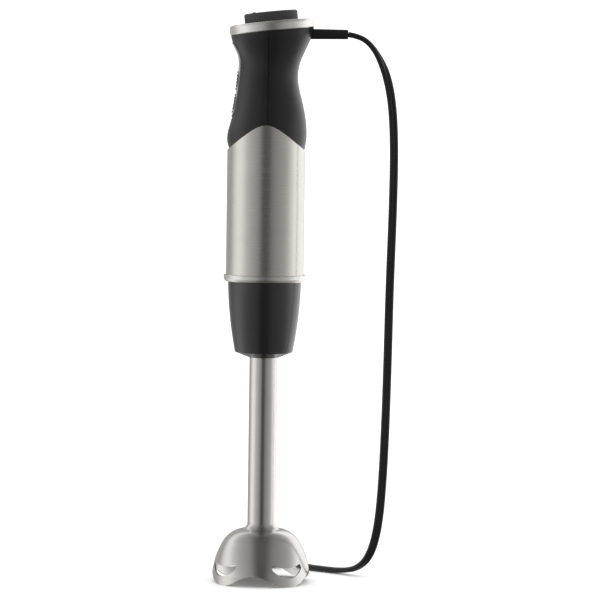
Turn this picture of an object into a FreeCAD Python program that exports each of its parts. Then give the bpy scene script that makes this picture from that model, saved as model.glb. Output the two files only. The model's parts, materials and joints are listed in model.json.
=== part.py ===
"""Immersion blender: motor unit with mains cord, detachable blending arm, speed dial and two buttons.

Frame: millimetres, +Z up along the blending arm's axis, origin at the centre of the blade guard's
rim. The buttons face -X and the cord leaves towards +X.
"""
import FreeCAD
import Part
import math
import os

V = FreeCAD.Vector
X_AXIS = V(1, 0, 0)
Y_AXIS = V(0, 1, 0)
Z_AXIS = V(0, 0, 1)

# ---- driving dimensions, mm ------------------------------------------------------------------
FIT = 0.05                  # gap between pieces pressed or screwed together
RUN = 0.06                  # radial clearance of a shaft turning in its bush
FREE = 0.3                  # gap beside a piece that is meant to move

# blade guard: outline of its outside as radius, height and direction of its surface in degrees
GUARD_WALL = 0.8
GUARD_RIM = (34.5, 0, 0)
GUARD_SIDE = [(34.5, 6.5, 0), (31.9, 18.3, 21), (26.5, 29.8, 34)]
GUARD_SHOULDER = [(22.2, 34.1, 58), (14.0, 37.5, 70)]
GUARD_NECK = [(11.0, 39.3, 42), (10.0, 42.5, 0)]
LOBES = 4
FIRST_LOBE = 36.6           # degrees from -Y towards +X
LOBE_FLAT = 3.5             # degrees each side of a lobe's tip that stay flat
NOTCH_TOP = 8.1
NOTCH_DEPTH = 14.0          # how far inside the rim the cutting tools start
NOTCH_STEPS = 12
WINDOW_HALF = 12.7
WINDOW_LOW = 6.2
WINDOW_SIDE = 12.8
WINDOW_TOP = 15.3
WINDOW_DIP = 1.9            # how far the middle of a window's top edge hangs down
WINDOW_CORNER = 2.0

# blending arm
TUBE_R = 10.0
TUBE_WALL = 0.8
TUBE_TOP = 188.0
CUP_BOTTOM = 159.5
CUP_TOP = 213.0
CUP_WALL = 2.3
CUP_TOP_R = 25.8
SLEEVE_WALL = 2.3
SPIGOT_R = 20.3
SPIGOT_WALL = 2.2
SPIGOT_TOP = 222.0
PIN_R = 1.2
PIN_REACH = 22.4
PIN_Z = 218.0
PINS = 3
THREAD_LEAD = 36.0

# shaft and blade
SHAFT_R = 3.0
SHAFT_TOP = 207.0
BLADE_Z = 15.8
BLADE_T = 1.2
BLADE_REACH = 21.0
BUSH_R = 5.45
COUPLING_R = 7.6
DOG_R = 4.6

# motor unit
RING_BOTTOM = 213.2
RING_TOP = 218.0
RING_R = 29.1
RING_BORE = 24.8
SOCKET_BORE = SPIGOT_R + FREE
SOCKET_CEILING = 224.6
SOCKET_TOP = 228.0
CASING_R = 27.5
CASING_WALL = 0.6
ARCH_PEAK = 323.4
ARCH_SLOPE = 0.909
ARCH_ROUND = 10.0
SHELL_WALL = 2.4
CORE_R = CASING_R - CASING_WALL - FIT
CORE_BORE = 24.6
SEAM_X = 1.0
SEAM_GAP = 0.15

# grip sections: height, front x, rear x, half depth in y
GRIP_SECTIONS = [
    (298.0, -27.4, 27.4, 27.4),
    (310.0, -27.3, 27.7, 27.4),
    (323.8, -25.9, 28.0, 26.9),
    (334.3, -23.1, 26.4, 25.2),
    (344.9, -21.5, 23.8, 23.0),
    (355.4, -20.3, 21.8, 21.4),
    (364.5, -19.6, 22.4, 21.2),
    (371.2, -20.1, 24.5, 22.4),
    (376.4, -22.2, 26.9, 24.4),
    (380.5, -24.3, 28.7, 26.0),
    (384.0, -25.5, 30.3, 27.2),
    (388.0, -25.9, 31.6, 28.0),
    (392.0, -26.1, 32.6, 28.5),
    (400.0, -26.3, 33.2, 28.8),
]

# tilted top: the collar's underside passes through TOP_CENTRE
TOP_TILT = 6.2              # degrees, rising towards the cord
TOP_CENTRE = V(3.3, 0, 389.2)
COLLAR_R = 29.8
COLLAR_H = 6.6
DIAL_R = 18.8
DIAL_BASE = COLLAR_H + 0.2
DIAL_TOP = 13.7
DIAL_FLUTES = 60
STEM_R = 3.0

# controls on the front
PANEL_PROUD = 0.7
PANEL_HALF = 7.6
PANEL_LOW = 329.0
PANEL_HIGH = 381.0
BUTTON_HALF = 5.6
BUTTON_LONG = 6.6           # half of a button's height
BUTTON_HEIGHTS = {"power": 354.5, "turbo": 338.5}
BUTTON_PROUD = 1.3
BUTTON_TRAVEL = 1.5
FRAME_X = -9.5
BOARD_X = 2.0
SWITCH_FACE = -6.0

# motor
MOTOR_R = 21.0
MOTOR_WALL = 1.4
MOTOR_LOW = 234.5
MOTOR_SPLIT = 281.0
MOTOR_HIGH = 297.0
MOTOR_SHAFT_R = 2.5
BEARING_R = 6.45
BEARING_H = 4.0
BEARING_HEIGHTS = (231.0, 293.5)
CORE_LOW = 244.0
CORE_HIGH = 276.0
ROTOR_R = 16.2
COMMUTATOR_R = 7.0
BRUSH_Z = 287.0
STRIP_FOLDS = 6             # folds of a strip spring
STRIP_Z = 0.6               # its thickness, measured along Z
FAN_Z = 303.0

# cord
RELIEF_R = 3.7
RELIEF_Z = 387.7
RELIEF_TAPER = 31.0         # where the sleeve leaves the grip and starts to taper
RELIEF_END = 56.5
RELIEF_END_R = 3.4
CORD_D = 5.0
CORD_ROUTE = [
    (56.5, 0.0, 387.7), (65.0, 0.0, 386.4), (73.0, 0.3, 380.5), (79.5, 0.8, 370.5),
    (84.8, 1.6, 357.5), (88.6, 2.6, 338.0), (90.4, 4.2, 308.0), (90.0, 6.0, 262.0),
    (88.6, 7.6, 210.0), (88.0, 9.0, 156.0), (87.0, 10.5, 104.0), (85.4, 12.8, 64.0),
    (83.0, 16.5, 36.0), (78.0, 22.5, 16.0), (69.5, 30.5, 5.6), (57.5, 40.5, 2.6),
    (43.0, 50.5, 2.55), (30.0, 60.5, 2.7), (21.5, 72.0, 3.1), (18.2, 84.0, 3.2),
]
HANK_FRONT = 78.0           # centres of the hank's round ends
HANK_BACK = 146.0
HANK_OUT = 20.0
HANK_IN = 12.0
HANK_H = 12.6
PLUG_BACK = 125.0


# ---- small builders --------------------------------------------------------------------------
def cylinder(r, z0, z1, x=0.0, y=0.0):
    return Part.makeCylinder(r, z1 - z0, V(x, y, z0))


def ring(r_out, r_in, z0, z1, x=0.0, y=0.0):
    return cylinder(r_out, z0, z1, x, y).cut(cylinder(r_in, z0 - 1, z1 + 1, x, y))


def box(x0, x1, y0, y1, z0, z1):
    return Part.makeBox(x1 - x0, y1 - y0, z1 - z0, V(x0, y0, z0))


def rod(r, start, end):
    return Part.makeCylinder(r, end.distanceToPoint(start), start, end - start)


def radial_rod(r, r0, r1, z, degrees):
    """A round rod along a radius, from r0 to r1, at an angle measured from +X."""
    piece = rod(r, V(r0, 0, z), V(r1, 0, z))
    piece.rotate(V(0, 0, 0), Z_AXIS, degrees)
    return piece


def around(piece, count, first=0.0):
    """Copies of a piece spaced evenly about the Z axis."""
    copies = []
    for i in range(count):
        copy = piece.copy()
        copy.rotate(V(0, 0, 0), Z_AXIS, first + i * 360.0 / count)
        copies.append(copy)
    return copies


def joined(pieces):
    """One solid from pieces that overlap."""
    return pieces[0].fuse(pieces[1:]).removeSplitter()


def group(pieces):
    """Separate solids kept in one node."""
    return Part.makeCompound(pieces)


def edges_of(steps):
    """Lines and arcs through a list of steps; a step is a point, or (middle, end) of an arc."""
    edges = []
    here = steps[0]
    for step in steps[1:]:
        if isinstance(step, tuple):
            edges.append(Part.Arc(here, step[0], step[1]).toShape())
            here = step[1]
        else:
            edges.append(Part.LineSegment(here, step).toShape())
            here = step
    if here.distanceToPoint(steps[0]) > 1e-6:
        edges.append(Part.LineSegment(here, steps[0]).toShape())
    return edges


def turned(steps):
    """A solid turned about Z; each step is (radius, z), or a pair of them for an arc."""
    lifted = []
    for step in steps:
        if isinstance(step[0], tuple):
            lifted.append((V(step[0][0], 0, step[0][1]), V(step[1][0], 0, step[1][1])))
        else:
            lifted.append(V(step[0], 0, step[1]))
    return Part.Face(Part.Wire(edges_of(lifted))).revolve(V(0, 0, 0), Z_AXIS, 360)


def prism(steps, direction):
    """A solid from a closed outline pushed along a direction."""
    return Part.Face(Part.Wire(edges_of(steps))).extrude(direction)


def polygon_rod(r, sides, z0, z1):
    points = []
    for i in range(sides):
        angle = 2 * math.pi * i / sides
        points.append(V(r * math.cos(angle), r * math.sin(angle), z0))
    return prism(points, V(0, 0, z1 - z0))


def stadium(x0, x1, half_y, z0, z1):
    """A bar along X whose section is a rectangle with rounded top and bottom."""
    r = half_y
    steps = [
        V(x0, -r, z0 + r), (V(x0, 0, z0), V(x0, r, z0 + r)),
        V(x0, r, z1 - r), (V(x0, 0, z1), V(x0, -r, z1 - r)),
    ]
    return prism(steps, V(x1 - x0, 0, 0))


def rounded_bar(x0, x1, half_y, z0, z1, r):
    """A bar along X whose section is a rectangle with four corners of radius r."""
    piece = box(x0, x1, -half_y, half_y, z0, z1)
    corners = [e for e in piece.Edges if e.tangentAt(e.FirstParameter).cross(X_AXIS).Length < 1e-6]
    return piece.makeFillet(r, corners)


def folded_strip(x0, x1, z0, z1, y0, width):
    """A zigzag strip spring along X, folded between z0 and z1."""
    edge = []
    for i in range(STRIP_FOLDS + 1):
        edge.append(V(x0 + i * (x1 - x0) / STRIP_FOLDS, y0, z1 - STRIP_Z if i % 2 else z0))
    back = [p + V(0, 0, STRIP_Z) for p in reversed(edge)]
    return prism(edge + back, V(0, width, 0))


def tilted(piece):
    """Puts a piece drawn about Z onto the motor unit's tilted top."""
    piece.Placement = FreeCAD.Placement(TOP_CENTRE, FreeCAD.Rotation(Y_AXIS, -TOP_TILT))
    return piece


def screw(head_r, head_h, shank_r, length):
    """A cross-head screw pointing down, with the underside of its head at the origin."""
    head = cylinder(head_r, 0, head_h)
    slot = box(-head_r * 0.6, head_r * 0.6, -0.3, 0.3, head_h * 0.5, head_h + 1)
    cross = slot.copy()
    cross.rotate(V(0, 0, 0), Z_AXIS, 90)
    return head.fuse(cylinder(shank_r, -length, 0)).cut(slot).cut(cross)


# ---- blending arm ----------------------------------------------------------------------------
def guard_solid(inset):
    """The guard's bell as a full solid, its outline moved inwards by the inset."""
    def moved(point):
        r, z, degrees = point
        turn = math.radians(degrees)
        return (r - inset * math.cos(turn), z - inset * math.sin(turn))

    side = [moved(p) for p in GUARD_SIDE]
    shoulder = [moved(p) for p in GUARD_SHOULDER]
    neck = [moved(p) for p in GUARD_NECK]
    rim = moved(GUARD_RIM)
    steps = [(0, rim[1]), rim, side[0], (side[1], side[2]), (shoulder[0], shoulder[1]),
             (neck[0], neck[1]), (0, neck[1][1])]
    return turned(steps)


def guard_notch():
    """Tool that cuts the wave between two lobes, facing +X."""
    x = GUARD_RIM[0] - NOTCH_DEPTH
    span = 45.0 - LOBE_FLAT
    points = []
    for i in range(NOTCH_STEPS + 1):
        turn = span * (2.0 * i / NOTCH_STEPS - 1)
        height = NOTCH_TOP * (1 + math.cos(math.pi * turn / span)) / 2
        points.append(V(x, GUARD_RIM[0] * math.sin(math.radians(turn)), height))
    wave = Part.BSplineCurve()
    wave.interpolate(points)
    low = [V(x, p.y, -1) for p in (points[-1], points[0])]
    edges = [wave.toShape()]
    for a, b in zip([points[-1]] + low, low + [points[0]]):
        edges.append(Part.LineSegment(a, b).toShape())
    return Part.Face(Part.Wire(edges)).extrude(V(NOTCH_DEPTH + 6, 0, 0))


def guard_window():
    """Tool that cuts the crescent window of a lobe, facing +X."""
    x = GUARD_RIM[0] - NOTCH_DEPTH
    half = WINDOW_HALF
    horn = half - WINDOW_CORNER
    bend_y = half - 0.2 * WINDOW_CORNER
    bend_z = WINDOW_SIDE + 0.75 * (WINDOW_TOP - WINDOW_SIDE)
    steps = [
        V(x, -half, WINDOW_SIDE), (V(x, 0, WINDOW_LOW), V(x, half, WINDOW_SIDE)),
        (V(x, bend_y, bend_z), V(x, horn, WINDOW_TOP)),
        (V(x, 0, WINDOW_TOP - WINDOW_DIP), V(x, -horn, WINDOW_TOP)),
        (V(x, -bend_y, bend_z), V(x, -half, WINDOW_SIDE)),
    ]
    return prism(steps, V(NOTCH_DEPTH + 6, 0, 0))


def blade_guard():
    neck_z = GUARD_NECK[1][1]
    spigot_r = TUBE_R - TUBE_WALL - FIT
    bell = guard_solid(0).cut(guard_solid(GUARD_WALL))
    spigot = ring(spigot_r, spigot_r - GUARD_WALL, neck_z - 2, neck_z + 14)
    collar = ring(TUBE_R - 0.3, spigot_r - GUARD_WALL, neck_z - 2, neck_z)
    first = FIRST_LOBE - 90
    cuts = around(guard_notch(), LOBES, first + 45) + around(guard_window(), LOBES, first)
    return joined([bell, spigot, collar]).cut(cuts).cut(cylinder(spigot_r - GUARD_WALL, 0, 100))


def arm_tube():
    return ring(TUBE_R, TUBE_R - TUBE_WALL, GUARD_NECK[1][1], TUBE_TOP)


def bush_holders():
    """Plastic plugs that hold the bushes in the tube's two ends."""
    lower_r = TUBE_R - TUBE_WALL - GUARD_WALL - 2 * FIT
    lower = turned([
        (BUSH_R + FIT, 26), (BUSH_R + 3.6, 26), (BUSH_R + 5.2, 29), (BUSH_R + 5.2, 31),
        (lower_r, 32.5), (lower_r, 55), (SHAFT_R + 1, 55), (SHAFT_R + 1, 44), (BUSH_R + FIT, 44),
    ])
    upper_r = TUBE_R - TUBE_WALL - FIT
    upper = turned([
        (SHAFT_R + 1, 165), (upper_r, 165), (upper_r, TUBE_TOP), (upper_r + 2.2, TUBE_TOP),
        (upper_r + 2.2, 191), (BUSH_R + FIT, 191), (BUSH_R + FIT, 177), (SHAFT_R + 1, 177),
    ])
    return group([lower, upper])


def shaft_bushes():
    bore = SHAFT_R + RUN
    return group([ring(BUSH_R, bore, 30.2, 44), ring(BUSH_R, bore, 177, 190.8)])


def lip_seal():
    lip = SHAFT_R + RUN
    return turned([(lip, 26.2), (lip + 0.8, 26.2), (lip + 1.1, 28.4), (BUSH_R - 0.8, 28.4),
                   (BUSH_R - 0.8, 26.2), (BUSH_R, 26.2), (BUSH_R, 30.1), (lip, 30.1)])


def arm_cup():
    """Black cup that carries the tube and meets the motor unit."""
    shell_top = CUP_TOP - 5.6
    outside = [(20.0, 163.2), ((20.45, 163.7), (20.65, 164.6)), ((23.35, 181.0), (CUP_TOP_R, 211.0))]
    inside = [(CUP_TOP_R - CUP_WALL, shell_top),
              ((23.35 - CUP_WALL, 181.0), (20.65 - CUP_WALL, 165.6)), (12.0, 164.0)]
    bore = TUBE_R + FIT
    shell = turned([(bore, CUP_BOTTOM), (TUBE_R + 0.5, CUP_BOTTOM)] + outside
                   + [(CUP_TOP_R, CUP_TOP), (CUP_TOP_R - CUP_WALL, CUP_TOP)] + inside + [(bore, 164.0)])
    sleeve = ring(bore + SLEEVE_WALL, bore, 163, TUBE_TOP - 2)
    rib = box(bore + 1, 21.4, -0.8, 0.8, 163.6, TUBE_TOP - 4)
    envelope = turned([(bore, 163)] + outside + [(CUP_TOP_R, CUP_TOP), (bore, CUP_TOP)])
    ribs = [r.common(envelope) for r in around(rib, 6, 30)]
    return joined([shell, sleeve] + ribs)


def arm_cap():
    """Lid of the cup, with the spigot and round pins that screw into the motor unit."""
    lid_r = CUP_TOP_R - CUP_WALL - FIT
    spigot_in = SPIGOT_R - SPIGOT_WALL
    lid = turned([
        (COUPLING_R + 0.7, CUP_TOP - 3), (spigot_in - 2, CUP_TOP - 3), (spigot_in - 2, CUP_TOP - 5.5),
        (lid_r, CUP_TOP - 5.5), (lid_r, CUP_TOP), (SPIGOT_R, CUP_TOP), (SPIGOT_R, SPIGOT_TOP - 0.6),
        (SPIGOT_R - 0.6, SPIGOT_TOP), (spigot_in, SPIGOT_TOP), (spigot_in, CUP_TOP),
        (COUPLING_R + 0.7, CUP_TOP),
    ])
    pin = radial_rod(PIN_R, SPIGOT_R - 1, PIN_REACH, PIN_Z, 0)
    return joined([lid] + around(pin, PINS))


# ---- shaft and blade -------------------------------------------------------------------------
def drive_shaft():
    thread_r = SHAFT_R - 0.6
    return turned([
        (0, 10.2), (thread_r - 0.4, 10.2), (thread_r, 10.6), (thread_r, BLADE_Z + BLADE_T),
        (SHAFT_R, BLADE_Z + BLADE_T), (SHAFT_R, SHAFT_TOP - 0.5), (SHAFT_R - 0.5, SHAFT_TOP),
        (0, SHAFT_TOP),
    ])


def blade():
    """Two swept wings on one hub, tips bent up and down."""
    top = BLADE_Z + BLADE_T
    hub = cylinder(5.5, BLADE_Z, top)
    wings = []
    for turn, bend in ((0, 14), (180, -10)):
        root = 11.0
        steps = [V(0, -4.6, BLADE_Z), V(root, -4.2, BLADE_Z), V(root, 4.2, BLADE_Z),
                 V(0, 4.6, BLADE_Z)]
        inner = prism(steps, V(0, 0, BLADE_T))
        tip_steps = [
            V(0, -4.2, 0), (V(BLADE_REACH - root - 4, -3.4, 0), V(BLADE_REACH - root, 0.8, 0)),
            (V(BLADE_REACH - root - 3, 3.6, 0), V(0, 4.2, 0)),
        ]
        tip = prism(tip_steps, V(0, 0, BLADE_T))
        tip.Placement = FreeCAD.Placement(V(root - 0.3, 0, BLADE_Z), FreeCAD.Rotation(Y_AXIS, -bend))
        wing = inner.fuse(tip)
        wing.rotate(V(0, 0, 0), Z_AXIS, turn)
        wings.append(wing)
    hole = cylinder(SHAFT_R - 0.6 + FIT, 0, 60)
    return joined([hub] + wings).cut(hole)


def blade_nut():
    body = polygon_rod(4.6, 6, 12.4, BLADE_Z - FIT)
    return body.cut(cylinder(SHAFT_R - 0.6 + FIT, 0, 60))


def driven_coupling():
    """Plastic half coupling on the shaft's top, with a hexagonal socket."""
    body = cylinder(COUPLING_R, 196, 216).fuse(cylinder(COUPLING_R - 2, 193, 196))
    socket = polygon_rod(DOG_R + 0.25, 6, 208.4, 217)
    return body.cut(socket).cut(cylinder(SHAFT_R + FIT, 190, SHAFT_TOP + FIT))


def shaft_clip():
    """Washer and snap ring that stop the shaft from dropping out of its upper bush."""
    return group([ring(5.2, SHAFT_R + FIT, 191.1, 191.9), ring(4.6, SHAFT_R + FIT, 192.0, 192.8)])


# ---- motor unit: lower end -------------------------------------------------------------------
def trim_ring():
    return turned([
        (RING_BORE, RING_BOTTOM), (27.2, RING_BOTTOM), ((28.5, 214.2), (RING_R - 0.1, 215.4)),
        (RING_R, 217.7), (RING_R - 0.3, RING_TOP), (RING_BORE, RING_TOP),
    ])


def thread_groove():
    """Tool for one helical groove, cut where a round pin of the arm travels."""
    start = RING_BOTTOM - 2.2
    height = PIN_Z + 0.6 - start
    half = PIN_R / math.cos(math.atan(THREAD_LEAD / (2 * math.pi * SOCKET_BORE))) + 0.25
    inner = SOCKET_BORE - 0.8
    outer = PIN_REACH + FREE
    helix = Part.makeHelix(THREAD_LEAD, height, SOCKET_BORE)
    section = Part.Wire(edges_of([V(inner, 0, -half), V(outer, 0, -half), V(outer, 0, half),
                                  V(inner, 0, half)]))
    groove = Part.Wire(helix).makePipeShell([section], True, True)
    groove.rotate(V(0, 0, 0), Z_AXIS, -360.0 * (PIN_Z - start) / THREAD_LEAD)
    groove.translate(V(0, 0, start))
    return groove


def socket_screw_places():
    return [(22.7, 60 + 120 * i) for i in range(3)]


def arm_socket():
    """Ring that receives the arm's spigot, with three helical grooves in its bore."""
    flange_r = CASING_R - CASING_WALL - FIT
    body = turned([
        (SOCKET_BORE, RING_BOTTOM + 0.2), (RING_BORE - FIT, RING_BOTTOM + 0.2),
        (RING_BORE - FIT, RING_TOP + FIT), (flange_r, RING_TOP + FIT), (flange_r, SOCKET_TOP),
        (9.8, SOCKET_TOP), (9.8, SOCKET_CEILING), (SOCKET_BORE, SOCKET_CEILING),
    ])
    holes = []
    for r, degrees in socket_screw_places():
        hole = cylinder(1.3 + FIT, SOCKET_TOP - 6.6, SOCKET_TOP + 1, r, 0)
        hole.rotate(V(0, 0, 0), Z_AXIS, degrees)
        holes.append(hole)
    return body.cut(around(thread_groove(), PINS)).cut(holes)


def socket_screws():
    screws = []
    for r, degrees in socket_screw_places():
        piece = screw(1.75, 1.5, 1.3, 9.6)
        piece.translate(V(r, 0, SOCKET_TOP + 3.4))
        piece.rotate(V(0, 0, 0), Z_AXIS, degrees)
        screws.append(piece)
    return group(screws)


def motor_cradle():
    """Plastic seat that centres the motor over the socket."""
    low = SOCKET_TOP + FIT
    plate = ring(CORE_BORE - 0.2, 10.4, low, SOCKET_TOP + 3.3)
    seat = ring(MOTOR_R + 1.2, MOTOR_R + FIT, SOCKET_TOP + 3, SOCKET_TOP + 14)
    cuts = []
    for r, degrees in socket_screw_places():
        relief = cylinder(2.0, SOCKET_TOP + 3.3, SOCKET_TOP + 20, r, 0)
        hole = cylinder(1.3 + FIT, SOCKET_TOP - 1, SOCKET_TOP + 5, r, 0)
        for cut in (relief, hole):
            cut.rotate(V(0, 0, 0), Z_AXIS, degrees)
            cuts.append(cut)
    return joined([plate, seat]).cut(cuts)


def socket_gasket():
    return turned([(16.0, 222.3), (20.2, 222.3), (20.2, 223.8), (19.0, 224.4), (17.0, 224.4),
                   (16.0, 223.8)])


# ---- motor -----------------------------------------------------------------------------------
def motor_can():
    inner = MOTOR_R - MOTOR_WALL
    seat = BEARING_R + FIT
    low = BEARING_HEIGHTS[0]
    can = turned([
        (seat - 2, low - 1), (seat + 1.4, low - 1), (seat + 1.4, MOTOR_LOW), (MOTOR_R - 1, MOTOR_LOW),
        (MOTOR_R, MOTOR_LOW + 1), (MOTOR_R, MOTOR_SPLIT), (inner, MOTOR_SPLIT),
        (inner, MOTOR_LOW + MOTOR_WALL), (seat, MOTOR_LOW + MOTOR_WALL), (seat, low), (seat - 2, low),
    ])
    vent = box(10, 17, -2.2, 2.2, MOTOR_LOW - 1, MOTOR_LOW + 3)
    return can.cut(around(vent, 6))


def field_magnets():
    inner = ROTOR_R + 0.6
    tube = ring(MOTOR_R - MOTOR_WALL - FIT, inner, CORE_LOW - 3, CORE_HIGH + 3)
    keep = [box(4.5, 30, -30, 30, 200, 300), box(-30, -4.5, -30, 30, 200, 300)]
    return group([tube.common(k) for k in keep])


def end_bell():
    """Plastic end of the motor that holds the upper bearing and the brushes."""
    seat = BEARING_R + FIT
    high = BEARING_HEIGHTS[1] + BEARING_H
    body = turned([
        (MOTOR_R - 2.6, MOTOR_SPLIT + FIT), (MOTOR_R, MOTOR_SPLIT + FIT), (MOTOR_R, MOTOR_HIGH - 1),
        (MOTOR_R - 1, MOTOR_HIGH), (seat + 2, MOTOR_HIGH), (seat + 2, high + 0.8), (seat - 2, high + 0.8),
        (seat - 2, high), (seat, high), (seat, BEARING_HEIGHTS[1] - 0.6), (seat + 2, MOTOR_HIGH - 3),
        (MOTOR_R - 2.6, MOTOR_HIGH - 3),
    ])
    slot = box(10, 30, -3.7, 3.7, BRUSH_Z - 3.2, BRUSH_Z + 3.2)
    return body.cut(around(slot, 2, 90))


def motor_bearings():
    return group([ring(BEARING_R, MOTOR_SHAFT_R + RUN, z, z + BEARING_H) for z in BEARING_HEIGHTS])


def brush_holders():
    tube = box(8.6, 20.6, -3.6, 3.6, BRUSH_Z - 3.1, BRUSH_Z + 3.1)
    hollow = box(8, 19.9, -3.0, 3.0, BRUSH_Z - 2.5, BRUSH_Z + 2.5)
    return group(around(tube.cut(hollow), 2, 90))


def brushes():
    block = box(COMMUTATOR_R + 0.1, 14.5, -2.9, 2.9, BRUSH_Z - 2.4, BRUSH_Z + 2.4)
    return group(around(block, 2, 90))


def brush_springs():
    """Folded strip springs that push the brushes onto the commutator."""
    strip = folded_strip(14.6, 19.4, BRUSH_Z - 1.9, BRUSH_Z + 2.1, -1.8, 3.6)
    return group(around(strip, 2, 90))


def motor_shaft():
    return cylinder(MOTOR_SHAFT_R, 221.0, 312.0)


def rotor_core():
    body = ring(ROTOR_R, MOTOR_SHAFT_R + FIT, CORE_LOW, CORE_HIGH)
    slot = box(9.5, ROTOR_R - 1.6, -1.6, 1.6, CORE_LOW - 1, CORE_HIGH + 1)
    mouth = box(9.5, ROTOR_R + 1, -0.7, 0.7, CORE_LOW - 1, CORE_HIGH + 1)
    return body.cut(around(slot, 12) + around(mouth, 12))


def rotor_windings():
    """Copper end turns and the wire packed in the core's slots."""
    heads = []
    for low, high in ((CORE_LOW - 4.6, CORE_LOW - FIT), (CORE_HIGH + FIT, CORE_HIGH + 4.6)):
        mid = (low + high) / 2
        heads.append(turned([
            (MOTOR_SHAFT_R + 2, low + 1), (MOTOR_SHAFT_R + 3, low), (12.5, low),
            ((14.3, mid), (12.5, high)), (MOTOR_SHAFT_R + 3, high), (MOTOR_SHAFT_R + 2, high - 1),
        ]))
    bar = box(9.5 + FIT, ROTOR_R - 1.6 - FIT - 1, -1.5, 1.5, CORE_LOW - 1, CORE_HIGH + 1)
    return joined(heads + around(bar, 12))


def commutator():
    body = ring(COMMUTATOR_R, MOTOR_SHAFT_R + FIT, 282.4, 291.6)
    gap = box(COMMUTATOR_R - 0.8, COMMUTATOR_R + 1, -0.2, 0.2, 283.4, 293)
    return body.cut(around(gap, 12))


def cooling_fan():
    hub = ring(5.0, MOTOR_SHAFT_R + FIT, FAN_Z - 1, FAN_Z + 8)
    disc = ring(19.0, MOTOR_SHAFT_R + FIT, FAN_Z, FAN_Z + 1.2)
    vane = box(4.5, 18.6, -0.6, 0.6, FAN_Z + 0.5, FAN_Z + 7.5)
    vane.rotate(V(4.5, 0, 0), Z_AXIS, 18)
    return joined([hub, disc] + around(vane, 9))


def drive_coupling():
    """Half coupling on the motor shaft, with a hexagonal dog that enters the arm's socket."""
    dog = polygon_rod(DOG_R, 6, 209.2, 217.5)
    body = cylinder(9.2, 217.0, 220.5).fuse(cylinder(6.0, 220.0, 229.4))
    return joined([dog, body]).cut(cylinder(MOTOR_SHAFT_R + FIT, 221.0 - FIT, 235))


# ---- motor unit: casing and grip -------------------------------------------------------------
def under_arch(drop):
    """Everything below the arched top edge of the steel casing."""
    points = []
    steps = 24
    for i in range(steps + 1):
        x = -32.0 + 64.0 * i / steps
        z = ARCH_PEAK - drop - ARCH_SLOPE * (math.hypot(x, ARCH_ROUND) - ARCH_ROUND)
        points.append(V(x, -40, z))
    curve = Part.BSplineCurve()
    curve.interpolate(points)
    outline = [curve.toShape()] + edges_of([points[-1], V(32, -40, 210), V(-32, -40, 210),
                                            points[0]])[:3]
    return Part.Face(Part.Wire(outline)).extrude(V(0, 80, 0))


def motor_casing():
    tube = ring(CASING_R, CASING_R - CASING_WALL, RING_TOP + FIT, ARCH_PEAK + 2)
    return tube.common(under_arch(0.15))


def grip_loft(grow):
    """The grip's body through its sections, each grown by the same amount."""
    wires = []
    points_round = 16
    for z, front, rear, half_y in GRIP_SECTIONS:
        middle = (front + rear) / 2
        half_x = (rear - front) / 2 + grow
        points = []
        for i in range(points_round):
            turn = 2 * math.pi * i / points_round
            points.append(V(middle + half_x * math.cos(turn), (half_y + grow) * math.sin(turn), z))
        curve = Part.BSplineCurve()
        curve.interpolate(points, PeriodicFlag=True)
        wires.append(Part.Wire(curve.toShape()))
    return Part.makeLoft(wires, True, False)


def collar_screw_places():
    return [(sx * 10.0, sy * 10.0) for sx in (-1, 1) for sy in (-1, 1)]


def grip_bosses(outside):
    """Posts inside the grip: four under the collar and a shelf for the cord clamp."""
    pieces = []
    for u, v in collar_screw_places():
        post = cylinder(2.8, -13, -0.2, u, v)
        away = math.degrees(math.atan2(v, u))
        rib = box(0, 22, -0.8, 0.8, -13, -4.3)
        rib.rotate(V(0, 0, 0), Z_AXIS, away)
        rib.translate(V(u, v, 0))
        hole = cylinder(1.2, -9.4, 1, u, v)
        pieces.append(tilted(post.fuse(rib).cut(hole)).common(outside))
    pieces.append(box(15, 30, -8, 8, 380, 384 - FIT).common(outside))
    return pieces


def shell_screw_bosses():
    """Bars along X beside the fan where the two grip shells are screwed together."""
    inside = cylinder(CORE_BORE + 0.6, 300, 315)
    bosses = []
    for side in (-1, 1):
        bar = rod(2.3, V(-24, 21.4, 307), V(10.3, 21.4, 307))
        web = box(-24, 10.3, 21.4, 27, 305.6, 308.4)
        boss = bar.fuse(web).common(inside)
        if side < 0:
            boss.rotate(V(0, 0, 0), X_AXIS, 180)
            boss.translate(V(0, 0, 614))
        bosses.append(boss)
    return bosses


def grip_body():
    """Both grip shells before they are split: a hollow body with all its openings."""
    outside = grip_loft(0).cut(under_arch(0))
    core = cylinder(CORE_R, SOCKET_TOP + FIT, ARCH_PEAK).common(under_arch(0))
    body = outside.fuse(core)
    hollow = grip_loft(-SHELL_WALL).fuse(cylinder(CORE_BORE, SOCKET_TOP - 1, 306))
    shell = body.cut(hollow)
    trimmed = grip_loft(-0.4)
    bosses = grip_bosses(trimmed) + shell_screw_bosses()
    shell = shell.fuse(bosses)
    above = tilted(box(-60, 60, -60, 60, -0.1, 60))
    shell = shell.cut(above)
    relief = rod(RELIEF_R + FIT, V(20, 0, RELIEF_Z), V(40, 0, RELIEF_Z))
    relief = relief.fuse(box(24.5, 40, -RELIEF_R - FIT, RELIEF_R + FIT, RELIEF_Z, RELIEF_Z + 9))
    cuts = [relief]
    for z in BUTTON_HEIGHTS.values():
        half = BUTTON_LONG + FREE
        cuts.append(stadium(-30, -10, BUTTON_HALF + FREE, z - half, z + half))
    for y in (-21.4, 21.4):
        cuts.append(rod(1.2, V(-10, y, 307), V(30, y, 307)))
        cuts.append(rod(2.4, V(10.3, y, 307), V(30, y, 307)))
    for y in (-5.4, 5.4):
        cuts.append(cylinder(1.2, 381, 385, 19.5, y))
    return shell.cut(cuts)


def front_grip(body):
    return body.common(box(-60, SEAM_X - SEAM_GAP, -60, 60, 200, 420))


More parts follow.
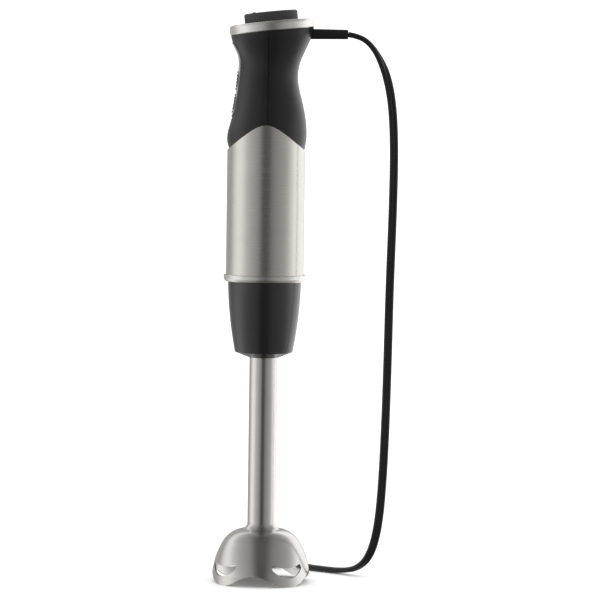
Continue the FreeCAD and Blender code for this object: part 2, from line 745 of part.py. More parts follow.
def rear_grip(body):
    return body.common(box(SEAM_X + SEAM_GAP, 60, -60, 60, 200, 420))


def grip_screws():
    screws = []
    for y in (-21.4, 21.4):
        piece = screw(2.2, 1.6, 1.15, 20)
        piece.rotate(V(0, 0, 0), Y_AXIS, 90)
        piece.translate(V(10.3 + FIT, y, 307))
        screws.append(piece)
    return group(screws)


# ---- tilted top ------------------------------------------------------------------------------
def top_collar():
    """Silver cap ring on the grip's top, with a skirt inside the shells."""
    round_r = 2.2
    bend = round_r * (1 - math.sqrt(0.5))
    plate = turned([
        (4.7, 3.0), (20.6, 3.0), (20.6, 0), (COLLAR_R - 0.5, 0), (COLLAR_R, 0.5),
        (COLLAR_R, COLLAR_H - round_r),
        ((COLLAR_R - bend, COLLAR_H - bend), (COLLAR_R - round_r, COLLAR_H)), (4.7, COLLAR_H),
    ])
    skirt = ring(22.6, 20.6, -4, 1)
    body = plate.fuse(skirt)
    cuts = [box(10, 40, -8.6, 8.6, -6, 0), box(10, 21, -9, 9, -6, 2)]
    for u, v in collar_screw_places():
        cuts.append(cylinder(1.3, -2, 10, u, v))
    return tilted(body.cut(cuts))


def collar_screws():
    screws = []
    for u, v in collar_screw_places():
        piece = screw(2.2, 1.3, 1.15, 15)
        piece.translate(V(u, v, COLLAR_H + FIT))
        screws.append(piece)
    return tilted(group(screws))


def speed_potentiometer():
    body = ring(8.0, STEM_R + RUN, -7.5, 3.0 - FIT)
    bushing = ring(4.6, STEM_R + RUN, 2, COLLAR_H + 2.6)
    tags = box(-4, 4, 7, 10, -6.5, -5.7)
    return tilted(joined([body, bushing, tags]))


def potentiometer_nut():
    return tilted(polygon_rod(7.4, 6, COLLAR_H + FIT, COLLAR_H + 2).cut(cylinder(4.6 + FIT, 0, 20)))


def dial_stem():
    stem = cylinder(STEM_R, -6, DIAL_TOP - 1.5)
    flat = box(-5, 5, STEM_R - 0.7, 5, COLLAR_H + 3.2, 20)
    return tilted(stem.cut(flat))


def speed_dial():
    """Fluted knob, hollow below, with a small pointer on its top edge."""
    top = DIAL_TOP
    knob = turned([
        (STEM_R + 2.8, COLLAR_H + 3.4), (STEM_R + 2.8, top - 2.4), (DIAL_R - 2.4, top - 2.4),
        (DIAL_R - 2.4, DIAL_BASE), (DIAL_R, DIAL_BASE), (DIAL_R, top - 1.0),
        ((DIAL_R - 0.3, top - 0.3), (DIAL_R - 1.0, top)), (0, top), (0, COLLAR_H + 3.4),
    ])
    flute = cylinder(0.42, DIAL_BASE - 1, top - 1.2, DIAL_R + 0.12, 0)
    pointer = cylinder(1.1, top - 0.5, top + 0.5, DIAL_R - 2.6, 0)
    pointer.rotate(V(0, 0, 0), Z_AXIS, 225)
    bore = cylinder(STEM_R + FIT, 0, top - 1.5 + FIT)
    bore = bore.cut(box(-5, 5, STEM_R - 0.7 + FIT, 5, COLLAR_H + 3.2 - FIT, 20))
    return tilted(knob.cut(around(flute, DIAL_FLUTES)).fuse(pointer).cut(bore))


# ---- controls --------------------------------------------------------------------------------
def front_panel():
    outline = rounded_bar(-40, -10, PANEL_HALF, PANEL_LOW, PANEL_HIGH, 4.0)
    panel = grip_loft(PANEL_PROUD).common(outline).cut(grip_loft(FIT))
    holes = []
    for z in BUTTON_HEIGHTS.values():
        half = BUTTON_LONG + FREE
        holes.append(stadium(-40, -5, BUTTON_HALF + FREE, z - half, z + half))
    return panel.cut(holes)


def button(name):
    """Ribbed push button that slides into the grip along X."""
    z = BUTTON_HEIGHTS[name]
    face = stadium(-40, -15.6, BUTTON_HALF, z - BUTTON_LONG, z + BUTTON_LONG)
    face = face.common(grip_loft(BUTTON_PROUD))
    ribs = []
    for i in range(-2, 3):
        height = z + i * 2.4
        ribs.append(box(-40, -5, -4.2, 4.2, height - 0.45, height + 0.45))
    dented = face.cut([r.cut(grip_loft(BUTTON_PROUD - 0.5)) for r in ribs])
    flange = rounded_bar(-15.9, -15.0, BUTTON_HALF + 1.2, z - BUTTON_LONG - 0.7,
                         z + BUTTON_LONG + 0.7, 2.0)
    plunger = rod(1.5, V(-15.5, 0, z), V(SWITCH_FACE - 2.65, 0, z))
    return joined([dented, flange, plunger])


def power_button():
    return button("power")


def turbo_button():
    return button("turbo")


def button_frame():
    """Plate between the buttons and the board; it carries the button springs."""
    plate = rounded_bar(FRAME_X, FRAME_X + 1.5, 11.5, 327, 366, 3.0)
    feet = [box(FRAME_X + 1, BOARD_X - FIT, y - 1.2, y + 1.2, z - 1.5, z + 1.5)
            for y in (-10, 10) for z in (329, 364)]
    holes = [rod(1.5 + FREE, V(-20, 0, z), V(0, 0, z)) for z in BUTTON_HEIGHTS.values()]
    return joined([plate] + feet).cut(holes)


def button_spring(name):
    """A pair of folded strips between a button's flange and the frame, one each side of its plunger."""
    z = BUTTON_HEIGHTS[name]
    strips = [folded_strip(FRAME_X - 5.3, FRAME_X - 0.1, z - 1.9, z + 2.1, y, 1.2) for y in (-3.1, 1.9)]
    return group(strips)


def power_spring():
    return button_spring("power")


def turbo_spring():
    return button_spring("turbo")


def circuit_board():
    return box(BOARD_X, BOARD_X + 1.6, -13, 13, 320, 374)


def microswitches():
    switches = []
    for z in BUTTON_HEIGHTS.values():
        body = box(SWITCH_FACE, BOARD_X - FIT, -3.2, 3.2, z - 6.2, z + 6.2)
        switches.append(body.fuse(rod(1.0, V(SWITCH_FACE - 1, 0, z), V(SWITCH_FACE + 1, 0, z))))
    return group(switches)


def capacitor():
    piece = box(BOARD_X + 1.6 + FIT, 15, -8.5, 8.5, 321, 333)
    return piece.makeFillet(0.8, piece.Edges)


def triac():
    body = box(6.4, 10.8, -5, 5, 358, 368)
    legs = [box(7.8, 8.4, y - 0.4, y + 0.4, 354, 358.5) for y in (-2.5, 0, 2.5)]
    feet = [box(BOARD_X + 1.6 + FIT, 8.4, y - 0.4, y + 0.4, 354, 354.6) for y in (-2.5, 0, 2.5)]
    return joined([body] + legs + feet)


def heatsink():
    plate = box(11, 12.4, -9, 9, 354, 371)
    fins = [box(12, 16, y - 0.5, y + 0.5, 354, 371) for y in (-7, -3.5, 0, 3.5, 7)]
    return joined([plate] + fins)


# ---- cord ------------------------------------------------------------------------------------
def strain_relief():
    """Moulded sleeve that guides the flex out of the grip, with a foot inside the shell."""
    root = rod(RELIEF_R, V(24.6, 0, RELIEF_Z), V(RELIEF_TAPER, 0, RELIEF_Z))
    length = RELIEF_END - RELIEF_TAPER
    sleeve = Part.makeCone(RELIEF_R, RELIEF_END_R, length, V(RELIEF_TAPER, 0, RELIEF_Z), X_AXIS)
    foot = box(23.6, 25.6, -6, 6, 384.2, 390.4)
    bore = rod(CORD_D / 2 + FIT, V(20, 0, RELIEF_Z), V(RELIEF_END + 1, 0, RELIEF_Z))
    return joined([root, sleeve, foot]).cut(bore)


def inner_cord():
    return rod(CORD_D / 2, V(13.5, 0, RELIEF_Z), V(RELIEF_END - 0.4, 0, RELIEF_Z))


def cord_clamp():
    bar = box(16.6, 22.4, -7.8, 7.8, 384, 391)
    cuts = [rod(CORD_D / 2 + FIT, V(10, 0, RELIEF_Z), V(30, 0, RELIEF_Z))]
    for y in (-5.4, 5.4):
        cuts.append(cylinder(1.25, 380, 395, 19.5, y))
    return bar.cut(cuts)


def clamp_screws():
    screws = []
    for y in (-5.4, 5.4):
        piece = screw(2.1, 1.2, 1.15, 9.6)
        piece.translate(V(19.5, y, 391 + FIT))
        screws.append(piece)
    return group(screws)


def cord_path(route):
    """Straight runs joined by tangent arcs, with every radius as large as its runs allow."""
    points = [V(*p) for p in route]
    edges = []
    radii = []
    here = points[0]
    for before, corner, after in zip(points, points[1:], points[2:]):
        arriving = corner - before
        leaving = after - corner
        shorter = min(arriving.Length, leaving.Length)
        turn = arriving.getAngle(leaving)
        setback = 0.45 * shorter
        radii.append(setback / math.tan(turn / 2))
        start = corner - arriving.normalize() * setback
        end = corner + leaving.normalize() * setback
        inward = (start + end) * 0.5 - corner
        depth = radii[-1] / math.cos(turn / 2) - radii[-1]
        middle = corner + inward.normalize() * depth
        edges.append(Part.LineSegment(here, start).toShape())
        edges.append(Part.Arc(start, middle, end).toShape())
        here = end
    edges.append(Part.LineSegment(here, points[-1]).toShape())
    return Part.Wire(edges), radii


def power_cord():
    path, radii = cord_path(CORD_ROUTE)
    start = V(*CORD_ROUTE[0])
    direction = (V(*CORD_ROUTE[1]) - start).normalize()
    section = Part.Wire(Part.makeCircle(CORD_D / 2, start, direction))
    cord = path.makePipeShell([section], True, False)
    expected = math.pi * (CORD_D / 2) ** 2 * path.Length
    print("cord length %.1f mm, tightest radii %s" % (path.Length, [round(r) for r in sorted(radii)[:4]]))
    print("cord volume over section times length: %.4f" % (cord.Volume / expected))
    return cord


def racetrack(half, z0, z1):
    steps = [
        V(-half, HANK_FRONT, z0), (V(0, HANK_FRONT - half, z0), V(half, HANK_FRONT, z0)),
        V(half, HANK_BACK, z0), (V(0, HANK_BACK + half, z0), V(-half, HANK_BACK, z0)),
    ]
    return prism(steps, V(0, 0, z1 - z0))


def cord_hank():
    """Outer shape of the flex wound into a flat oval, with room for the plug inside it."""
    hole = racetrack(HANK_IN, -1, HANK_H + 1).cut(box(-40, 40, PLUG_BACK, 200, -2, 20))
    tie_cut = box(HANK_IN - 3, HANK_OUT + 3, 108, 116, -1, HANK_H + 1)
    body = racetrack(HANK_OUT, 0, HANK_H).cut(hole)
    slim = racetrack(HANK_OUT - 0.6, 0.6, HANK_H - 0.6).cut(racetrack(HANK_IN + 0.6, -1, 20))
    return body.cut(tie_cut).fuse(slim.common(tie_cut)).removeSplitter()


def hank_tie():
    outer = box(HANK_IN - 0.4, HANK_OUT + 0.4, 109, 115, 0, HANK_H + 0.4)
    inner = box(HANK_IN + 0.6 - FIT, HANK_OUT - 0.6 + FIT, 100, 120, 0.6 - FIT, HANK_H - 0.6 + FIT)
    return outer.cut(inner)


def plug_body():
    front = PLUG_BACK - 38
    grip = box(-10.5, 10.5, front, PLUG_BACK - 12, 0, 13.2)
    corners = [e for e in grip.Edges if e.tangentAt(e.FirstParameter).cross(Y_AXIS).Length < 1e-6]
    grip = grip.makeFillet(3.5, corners)
    boot = Part.makeCone(5.4, 3.9, 13, V(0, PLUG_BACK - 13, 6.4), Y_AXIS)
    return joined([grip, boot])


def plug_blades():
    front = PLUG_BACK - 38
    return group([box(x - 0.75, x + 0.75, front - 17, front - FIT, 3.2, 9.6) for x in (-6.35, 6.35)])


# ---- all nodes -------------------------------------------------------------------------------
def main():
    os.makedirs("parts", exist_ok=True)
    body = grip_body()
    nodes = {"front_grip": front_grip(body), "rear_grip": rear_grip(body)}
    makers = [
        blade_guard, arm_tube, bush_holders, shaft_bushes, lip_seal, arm_cup, arm_cap,
        drive_shaft, blade, blade_nut, driven_coupling, shaft_clip,
        trim_ring, arm_socket, socket_screws, motor_cradle, socket_gasket,
        motor_can, field_magnets, end_bell, motor_bearings, brush_holders, brushes, brush_springs,
        motor_shaft, rotor_core, rotor_windings, commutator, cooling_fan, drive_coupling,
        motor_casing, grip_screws, top_collar, collar_screws, speed_potentiometer,
        potentiometer_nut, dial_stem, speed_dial, front_panel, power_button, turbo_button,
        button_frame, power_spring, turbo_spring, circuit_board, microswitches, capacitor,
        triac, heatsink, strain_relief, inner_cord, cord_clamp, clamp_screws, power_cord,
        cord_hank, hank_tie, plug_body, plug_blades,
    ]
    for maker in makers:
        nodes[maker.__name__] = maker()
    for name, shape in nodes.items():
        solids = len(shape.Solids)
        print("%-20s solids %2d valid %s volume %.1f" % (name, solids, shape.isValid(), shape.Volume))
        shape.exportStep("parts/%s.step" % name)


main()
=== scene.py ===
"""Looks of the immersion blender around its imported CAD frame. Metres, +Z up, buttons towards -X."""
import json
import math

import bpy
from mathutils import Matrix, Vector


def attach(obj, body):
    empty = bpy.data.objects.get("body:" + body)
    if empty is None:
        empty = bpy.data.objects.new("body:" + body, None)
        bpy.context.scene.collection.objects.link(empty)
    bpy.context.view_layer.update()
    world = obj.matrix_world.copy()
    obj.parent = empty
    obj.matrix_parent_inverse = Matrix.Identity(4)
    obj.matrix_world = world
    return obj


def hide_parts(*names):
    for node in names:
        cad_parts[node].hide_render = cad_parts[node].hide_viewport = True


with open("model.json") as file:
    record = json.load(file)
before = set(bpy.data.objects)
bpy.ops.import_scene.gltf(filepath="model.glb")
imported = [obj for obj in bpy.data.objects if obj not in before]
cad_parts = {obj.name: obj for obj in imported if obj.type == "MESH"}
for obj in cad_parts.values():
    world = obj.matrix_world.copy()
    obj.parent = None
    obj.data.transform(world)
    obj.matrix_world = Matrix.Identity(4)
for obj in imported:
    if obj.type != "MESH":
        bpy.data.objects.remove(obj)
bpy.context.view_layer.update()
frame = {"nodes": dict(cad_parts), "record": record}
scene = bpy.context.scene
nodes = frame["nodes"]

MM = 0.001

# ---- camera ----------------------------------------------------------------------------------
CAMERA_PLACE = Vector((0.0252, -2.221, 0.3331))
CAMERA_PITCH = math.radians(3.42)       # looking down
CAMERA_ROLL = math.radians(0.78)
CAMERA_LENS = 189.0

# ---- mains flex, mm --------------------------------------------------------------------------
FREE_ROUTE = [
    (56.5, 0.0, 387.7), (65.0, 0.0, 386.4), (73.0, 0.3, 380.5), (79.5, 0.8, 370.5),
    (84.8, 1.6, 357.5), (88.6, 2.6, 338.0), (90.4, 4.2, 308.0), (90.0, 6.0, 262.0),
    (88.6, 7.6, 210.0), (88.0, 9.0, 156.0), (87.0, 10.5, 104.0), (85.4, 12.8, 64.0),
    (83.0, 16.5, 36.0), (78.0, 22.5, 16.0), (69.5, 30.5, 5.6), (57.5, 40.5, 2.3),
    (43.0, 50.5, 2.1), (30.0, 60.5, 2.3), (21.5, 72.0, 3.0), (18.2, 84.0, 3.2),
]
FLEX_WIDE = 6.2
FLEX_THIN = 3.8
CORE_SWEEP = 256.0          # degrees of a core's round side, and the steps along it
CORE_STEPS = 12
OUTER = 18.0                # half widths of the hank's outer and inner turns
INNER = 14.0
LOWER = 3.2                 # heights of its lower and upper layers
UPPER = 9.4
HANK_FRONT = 78.0
HANK_BACK = 146.0
HANK_MIDDLE = (100.0, 122.0)
END_STEPS = 6               # steps round each end of a turn
LAST_POINTS = 7             # points of the last, unfinished turn
PLUG_TAIL = [(-10.5, 152.0, 3.6), (-8.6, 143.0, 4.6), (-3.6, 135.0, 6.0), (-0.4, 129.0, 6.4),
             (0.0, 121.0, 6.4)]
# where the flex's wide side faces: share of the free stretch, direction
FLEX_FACING = [
    (0.0, (0, 1, 0)), (0.03, (0.1, 1, 0)), (0.11, (1, 0.25, 0.1)), (0.78, (1, 0, 0)),
    (0.85, (0.8, 0.6, 0)), (0.96, (0.7, 0.7, 0.1)), (1.0, (0.3, 0.2, 1.0)),
]


def make_camera():
    data = bpy.data.cameras.new("camera")
    data.lens = CAMERA_LENS
    data.sensor_width = 36.0
    data.clip_end = 100.0
    camera = bpy.data.objects.new("camera", data)
    scene.collection.objects.link(camera)
    camera.location = CAMERA_PLACE
    tilt = Matrix.Rotation(math.pi / 2 - CAMERA_PITCH, 4, "X")
    camera.rotation_euler = (tilt @ Matrix.Rotation(CAMERA_ROLL, 4, "Z")).to_euler()
    scene.camera = camera


# ---- cord ------------------------------------------------------------------------------------
def blend_between(keys, share):
    """A value read off (share, value) keys, with straight lines between them."""
    for (s0, v0), (s1, v1) in zip(keys, keys[1:]):
        if share <= s1:
            t = (share - s0) / (s1 - s0)
            return v0 + (v1 - v0) * t
    return keys[-1][1]


def hank_turn(radii, heights):
    """One oval turn, from the right side round the back; radii and heights run along its course."""
    step = 180 / END_STEPS
    places = [("side", 1, y) for y in HANK_MIDDLE]
    places += [("back", step * i, 0) for i in range(END_STEPS + 1)]
    places += [("side", -1, y) for y in reversed(HANK_MIDDLE)]
    places += [("front", 180 + step * i, 0) for i in range(END_STEPS + 1)]
    points = []
    for i, (kind, value, y) in enumerate(places):
        share = i / (len(places) - 1)
        radius = blend_between(radii, share)
        z = blend_between(heights, share)
        if kind == "side":
            points.append((value * radius, y, z))
        else:
            angle = math.radians(value)
            centre = HANK_BACK if kind == "back" else HANK_FRONT
            points.append((radius * math.cos(angle), centre + radius * math.sin(angle), z))
    return points


def hank_route():
    """Two turns on the outside, then two on the inside that end at the plug."""
    wide = [(0.0, OUTER), (1.0, OUTER)]
    narrow = [(0.0, INNER), (1.0, INNER)]
    inwards = [(0.0, OUTER), (0.6, OUTER), (0.95, INNER), (1.0, INNER)]
    low = [(0.0, LOWER), (1.0, LOWER)]
    high = [(0.0, UPPER), (1.0, UPPER)]
    up = [(0.0, LOWER), (0.55, LOWER), (0.8, UPPER), (1.0, UPPER)]
    down = [(0.0, UPPER), (0.55, UPPER), (0.85, LOWER), (1.0, LOWER)]
    turns = hank_turn(wide, up) + hank_turn(inwards, high) + hank_turn(narrow, down)
    return turns + hank_turn(narrow, low)[:LAST_POINTS] + PLUG_TAIL


def spline_line(points, name):
    """The smooth line of a NURBS spline through control points in mm, as points in metres."""
    data = bpy.data.curves.new(name, "CURVE")
    data.dimensions = "3D"
    data.resolution_u = 10
    spline = data.splines.new("NURBS")
    spline.points.add(len(points) - 1)
    for slot, point in zip(spline.points, points):
        slot.co = (*(Vector(point) * MM), 1.0)
    spline.order_u = 3
    spline.use_endpoint_u = True
    curve = bpy.data.objects.new(name, data)
    scene.collection.objects.link(curve)
    bpy.context.view_layer.update()
    shaped = curve.evaluated_get(bpy.context.evaluated_depsgraph_get())
    mesh = bpy.data.meshes.new_from_object(shaped)
    line = [v.co.copy() for v in mesh.vertices]
    bpy.data.objects.remove(curve)
    bpy.data.meshes.remove(mesh)
    return line


def flex_section():
    """Outline of two cores side by side with a groove between them: (across wide side, thin side)."""
    core = FLEX_THIN / 2
    offset = FLEX_WIDE / 2 - core
    right = []
    for i in range(CORE_STEPS + 1):
        angle = math.radians(CORE_SWEEP * (i / CORE_STEPS - 0.5))
        right.append((offset + core * math.cos(angle), core * math.sin(angle)))
    left = [(-u, -v) for u, v in right]
    return [(u * MM, v * MM) for u, v in right + left]


def sweep(name, line, facings, section):
    """A closed tube along a line; its section's wide side is held near the facing at each point."""
    vertices = []
    faces = []
    for i, point in enumerate(line):
        tangent = (line[min(i + 1, len(line) - 1)] - line[max(i - 1, 0)]).normalized()
        wide = (facings[i] - tangent * facings[i].dot(tangent)).normalized()
        thin = tangent.cross(wide)
        vertices += [point + wide * u + thin * v for u, v in section]
    count = len(section)
    for i in range(len(line) - 1):
        for j in range(count):
            k = (j + 1) % count
            faces.append((i * count + j, i * count + k, (i + 1) * count + k, (i + 1) * count + j))
    faces.append(tuple(reversed(range(count))))
    faces.append(tuple(range((len(line) - 1) * count, len(line) * count)))
    mesh = bpy.data.meshes.new(name)
    mesh.from_pydata([tuple(v) for v in vertices], [], faces)
    mesh.polygons.foreach_set("use_smooth", [True] * len(faces))
    mesh.update()
    piece = bpy.data.objects.new(name, mesh)
    scene.collection.objects.link(piece)
    return piece


def facing_at(share):
    """Where the wide side faces at a share of the free stretch, eased between the keys."""
    for (s0, d0), (s1, d1) in zip(FLEX_FACING, FLEX_FACING[1:]):
        if share <= s1:
            t = (share - s0) / (s1 - s0)
            t = t * t * (3 - 2 * t)
            return Vector(d0).normalized().lerp(Vector(d1).normalized(), t)
    return Vector((0, 0, 1))


def make_cord():
    line = spline_line(FREE_ROUTE + hank_route(), "flex_route")
    run = [0.0]
    for a, b in zip(line, line[1:]):
        run.append(run[-1] + (b - a).length)
    hank_start = Vector(FREE_ROUTE[-1]) * MM
    nearest = min(range(len(line)), key=lambda i: (line[i] - hank_start).length)
    free = run[nearest]
    facings = [facing_at(r / free) if r < free else Vector((0, 0, 1)) for r in run]
    flex = sweep("mains_flex", line, facings, flex_section())
    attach(flex, "motor_unit")
    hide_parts("power_cord", "cord_hank")
    return flex


# ---- materials -------------------------------------------------------------------------------
NOISE_ROUGH = 0.55
BLOTCH = (60.0, 60.0, 60.0)         # broad change of colour, cycles per metre


def put(tree, socket, value):
    """Join a socket to another one, or give it a constant."""
    if isinstance(value, bpy.types.NodeSocket):
        tree.links.new(value, socket)
    else:
        socket.default_value = value


class Web:
    """A material's node tree, with short calls to add and join nodes."""

    def __init__(self, name):
        self.material = bpy.data.materials.new(name)
        self.material.use_nodes = True
        self.tree = self.material.node_tree
        self.shader = self.tree.nodes["Principled BSDF"]

    def add(self, kind, **sockets):
        node = self.tree.nodes.new("ShaderNode" + kind)
        for key, value in sockets.items():
            self.put(node.inputs[key.replace("_", " ")], value)
        return node

    def put(self, socket, value):
        put(self.tree, socket, value)

    def noise(self, stretch, detail=3.0):
        """Noise over the object's own place; stretch is its cycles per metre along X, Y and Z."""
        place = self.add("TexCoord").outputs["Object"]
        mapping = self.add("Mapping", Vector=place, Scale=stretch)
        node = self.add("TexNoise", Vector=mapping.outputs["Vector"], Scale=1.0, Detail=detail,
                        Roughness=NOISE_ROUGH)
        return node.outputs["Fac"]

    def span(self, value, low, high, start=0.3, end=0.7):
        """The value carried from start..end to low..high."""
        node = self.add("MapRange", Value=value, From_Min=start, From_Max=end, To_Min=low,
                        To_Max=high)
        return node.outputs["Result"]

    def mix(self, share, a, b):
        node = self.tree.nodes.new("ShaderNodeMix")
        node.data_type = "RGBA"
        self.put(node.inputs["Factor"], share)
        self.put(node.inputs["A"], a)
        self.put(node.inputs["B"], b)
        return node.outputs["Result"]

    def bump(self, height, depth):
        """A bump of the given depth in metres."""
        return self.add("Bump", Height=height, Distance=depth, Strength=1.0).outputs["Normal"]


def shade(colour, factor):
    return tuple(min(1.0, c * factor) for c in colour) + (1.0,)


def finish_of(name, colour, metallic, rough, grain, depth, spread=0.1, rough_spread=0.08, sockets=None):
    """One procedural finish: fine grain for bump and gloss, broad blotches for colour."""
    web = Web(name)
    shader = web.shader.inputs
    fine = web.noise(grain, detail=4.0)
    broad = web.noise(BLOTCH, detail=2.0)
    both = web.add("Math")
    web.put(both.inputs[0], fine)
    web.put(both.inputs[1], broad)
    share = web.span(both.outputs["Value"], 0.0, 1.0, 0.7, 1.3)
    web.put(shader["Base Color"], web.mix(share, shade(colour, 1 - spread), shade(colour, 1 + spread)))
    web.put(shader["Roughness"], web.span(fine, rough - rough_spread, rough + rough_spread))
    shader["Metallic"].default_value = metallic
    web.put(shader["Normal"], web.bump(fine, depth * MM))
    for key, value in (sockets or {}).items():
        shader[key].default_value = value
    return web.material


ROUND = (25.0, 25.0, 5200.0)        # grain drawn out round the Z axis
EVEN = (2400.0, 2400.0, 2400.0)
COARSE = (900.0, 900.0, 900.0)
FINISHES = {
    "brushed_casing": dict(colour=(0.60, 0.575, 0.54), metallic=1.0, rough=0.24, grain=ROUND, depth=0.0012,
                           spread=0.03, rough_spread=0.04),
    "brushed_tube": dict(colour=(0.64, 0.62, 0.59), metallic=1.0, rough=0.2, grain=ROUND, depth=0.001,
                         spread=0.03, rough_spread=0.03),
    "satin_guard": dict(colour=(0.60, 0.585, 0.56), metallic=1.0, rough=0.22, grain=(1500.0, 1500.0, 1500.0),
                        depth=0.0006, spread=0.02, rough_spread=0.03),
    "silver_trim": dict(colour=(0.70, 0.685, 0.66), metallic=1.0, rough=0.3, grain=EVEN, depth=0.001,
                        spread=0.02, rough_spread=0.04),
    "black_shell": dict(colour=(0.0045, 0.0043, 0.0046), metallic=0.0, rough=0.33, grain=EVEN, depth=0.006,
                        spread=0.12, rough_spread=0.05, sockets={"Specular IOR Level": 0.45}),
    "black_cup": dict(colour=(0.005, 0.0047, 0.0046), metallic=0.0, rough=0.22, grain=EVEN, depth=0.003,
                      spread=0.1, rough_spread=0.04, sockets={"Specular IOR Level": 0.75}),
    "charcoal_dial": dict(colour=(0.03, 0.029, 0.03), metallic=0.0, rough=0.5, grain=EVEN, depth=0.02,
                          spread=0.12, rough_spread=0.06, sockets={"Specular IOR Level": 0.4}),
    "button_grey": dict(colour=(0.05, 0.05, 0.052), metallic=0.0, rough=0.45, grain=EVEN, depth=0.02,
                        spread=0.1, rough_spread=0.06),
    "cord_black": dict(colour=(0.005, 0.005, 0.0053), metallic=0.0, rough=0.3, grain=COARSE, depth=0.02,
                       spread=0.15, rough_spread=0.06, sockets={"Specular IOR Level": 0.4}),
    "plug_black": dict(colour=(0.005, 0.005, 0.0053), metallic=0.0, rough=0.28, grain=EVEN, depth=0.01,
                       spread=0.12, rough_spread=0.05, sockets={"Specular IOR Level": 0.4}),
    "tie": dict(colour=(0.04, 0.04, 0.042), metallic=0.0, rough=0.5, grain=(3000.0, 300.0, 3000.0),
                depth=0.06, spread=0.2),
    "brass": dict(colour=(0.74, 0.56, 0.27), metallic=1.0, rough=0.28, grain=EVEN, depth=0.004),
    "bronze": dict(colour=(0.55, 0.37, 0.2), metallic=1.0, rough=0.42, grain=COARSE, depth=0.02),
    "machined_steel": dict(colour=(0.58, 0.57, 0.56), metallic=1.0, rough=0.26, grain=ROUND, depth=0.004),
    "blade_steel": dict(colour=(0.68, 0.68, 0.67), metallic=1.0, rough=0.2, grain=(3600.0, 260.0, 3600.0),
                        depth=0.005),
    "screw_steel": dict(colour=(0.42, 0.42, 0.43), metallic=1.0, rough=0.36, grain=EVEN, depth=0.01),
    "can_steel": dict(colour=(0.46, 0.46, 0.47), metallic=1.0, rough=0.4, grain=(60.0, 60.0, 1800.0),
                      depth=0.01),
    "magnet": dict(colour=(0.06, 0.06, 0.065), metallic=0.2, rough=0.6, grain=COARSE, depth=0.05),
    "lamination": dict(colour=(0.24, 0.24, 0.26), metallic=0.9, rough=0.5, grain=(12.0, 12.0, 2400.0),
                       depth=0.08),
    "copper": dict(colour=(0.66, 0.31, 0.17), metallic=1.0, rough=0.34, grain=(2600.0, 2600.0, 300.0),
                   depth=0.06),
    "carbon": dict(colour=(0.03, 0.03, 0.032), metallic=0.1, rough=0.7, grain=COARSE, depth=0.05),
    "spring_steel": dict(colour=(0.5, 0.5, 0.51), metallic=1.0, rough=0.3, grain=EVEN, depth=0.004),
    "inner_plastic": dict(colour=(0.045, 0.045, 0.047), metallic=0.0, rough=0.55, grain=COARSE, depth=0.04),
    "white_plastic": dict(colour=(0.62, 0.61, 0.58), metallic=0.0, rough=0.5, grain=COARSE, depth=0.03),
    "seal_rubber": dict(colour=(0.03, 0.03, 0.03), metallic=0.0, rough=0.7, grain=COARSE, depth=0.05),
    "lip_rubber": dict(colour=(0.06, 0.05, 0.045), metallic=0.0, rough=0.65, grain=COARSE, depth=0.05),
    "board": dict(colour=(0.03, 0.13, 0.06), metallic=0.0, rough=0.42, grain=(700.0, 700.0, 700.0),
                  depth=0.03),
    "part_black": dict(colour=(0.025, 0.025, 0.027), metallic=0.0, rough=0.45, grain=COARSE, depth=0.03),
    "part_yellow": dict(colour=(0.6, 0.38, 0.06), metallic=0.0, rough=0.4, grain=COARSE, depth=0.03),
    "aluminium": dict(colour=(0.62, 0.63, 0.64), metallic=1.0, rough=0.36, grain=(2200.0, 2200.0, 120.0),
                      depth=0.008),
}


def paint_all(flex):
    made = {name: finish_of(name, **says) for name, says in FINISHES.items()}
    for part in frame["record"]["subparts"]:
        node = nodes[part["node"]]
        for slot in node.material_slots:
            slot.link = "OBJECT"
            slot.material = made[part["material_slot"]]
    flex.data.materials.append(made["cord_black"])


# ---- studio ----------------------------------------------------------------------------------
# brightness that gloss sees: angle from the camera's side towards +X, value
HORIZON = [
    (-180, 0.3), (-165, 0.5), (-138, 0.48), (-117, 0.5), (-98, 1.0), (-86, 1.2), (-70, 1.2),
    (-54, 0.75), (-34, 0.5), (-17, 0.34), (-7, 0.07), (8, 0.07), (18, 0.25), (35, 0.36), (60, 0.52),
    (78, 0.95), (95, 1.4), (125, 1.45), (155, 1.3), (172, 0.4), (180, 0.3),
]
LIFT = 1.2                  # how fast the dark strip in front runs up overhead
FILL = 1.5                  # light on matt surfaces
BACKDROP = 1.4              # what the camera sees behind the object
WHITE = (1.0, 1.0, 1.0, 1.0)
FLOOR_R = 1.2
FLOOR_SIDES = 96
FLOOR_TONES = ((0.86, 0.86, 0.86, 1), (0.89, 0.89, 0.89, 1))
FLOOR_ROUGH = 0.9


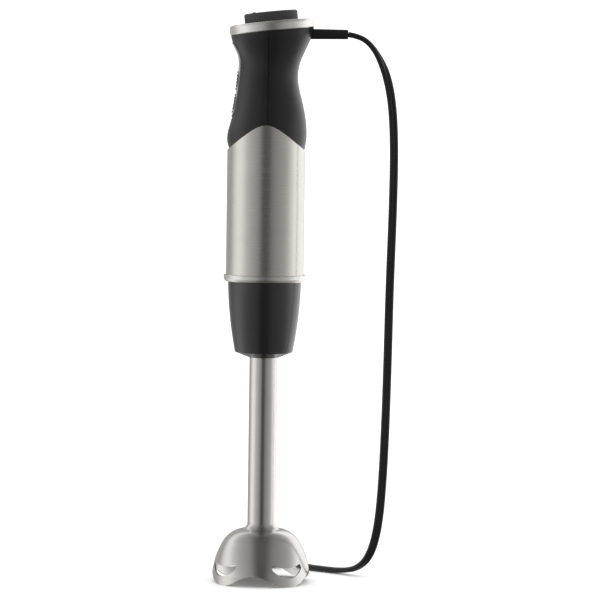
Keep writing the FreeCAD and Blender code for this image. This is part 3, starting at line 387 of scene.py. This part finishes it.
def make_studio():
    world = bpy.data.worlds.new("studio")
    world.use_nodes = True
    scene.world = world
    tree = world.node_tree
    tree.nodes.clear()

    def add(kind, inputs, operation=None):
        node = tree.nodes.new("ShaderNode" + kind)
        if operation:
            node.operation = operation
        for key, value in inputs.items():
            put(tree, node.inputs[key], value)
        return node.outputs

    way = add("TexCoord", {})["Generated"]
    split = add("SeparateXYZ", {"Vector": way})
    height = add("Math", {0: split["Z"]}, "ABSOLUTE")["Value"]
    lift = add("Math", {0: height, 1: LIFT}, "MULTIPLY")["Value"]
    ahead = add("Math", {0: lift, 1: split["Y"]}, "SUBTRACT")["Value"]
    angle = add("Math", {0: split["X"], 1: ahead}, "ARCTAN2")["Value"]
    share = add("MapRange", {"Value": angle, "From Min": -math.pi, "From Max": math.pi})["Result"]
    ramp = tree.nodes.new("ShaderNodeValToRGB")
    stops = ramp.color_ramp.elements
    peak = max(value for _, value in HORIZON)
    while len(stops) < len(HORIZON):
        stops.new(1.0)
    for stop, (degrees, value) in zip(stops, HORIZON):
        stop.position = (degrees + 180.0) / 360.0
        stop.color = (value / peak,) * 3 + (1.0,)
    put(tree, ramp.inputs["Fac"], share)
    gloss = add("Background", {"Color": ramp.outputs["Color"], "Strength": peak})["Background"]
    fill = add("Background", {"Color": WHITE, "Strength": FILL})["Background"]
    back = add("Background", {"Color": WHITE, "Strength": BACKDROP})["Background"]
    ray = add("LightPath", {})
    light = add("MixShader", {"Fac": ray["Is Glossy Ray"], 1: fill, 2: gloss})["Shader"]
    sky = add("MixShader", {"Fac": ray["Is Camera Ray"], 1: light, 2: back})["Shader"]
    add("OutputWorld", {"Surface": sky})
    scene.view_settings.view_transform = "Standard"


def make_floor():
    rim = []
    for i in range(FLOOR_SIDES):
        angle = 2 * math.pi * i / FLOOR_SIDES
        rim.append((FLOOR_R * math.cos(angle), FLOOR_R * math.sin(angle), 0.0))
    mesh = bpy.data.meshes.new("floor")
    mesh.from_pydata(rim, [], [tuple(range(FLOOR_SIDES))])
    floor = bpy.data.objects.new("floor", mesh)
    scene.collection.objects.link(floor)
    web = Web("floor")
    web.put(web.shader.inputs["Base Color"], web.mix(web.noise((30, 30, 30)), *FLOOR_TONES))
    web.shader.inputs["Roughness"].default_value = FLOOR_ROUGH
    mesh.materials.append(web.material)
    floor.visible_glossy = False


make_camera()
flex_piece = make_cord()
paint_all(flex_piece)
make_studio()
make_floor()
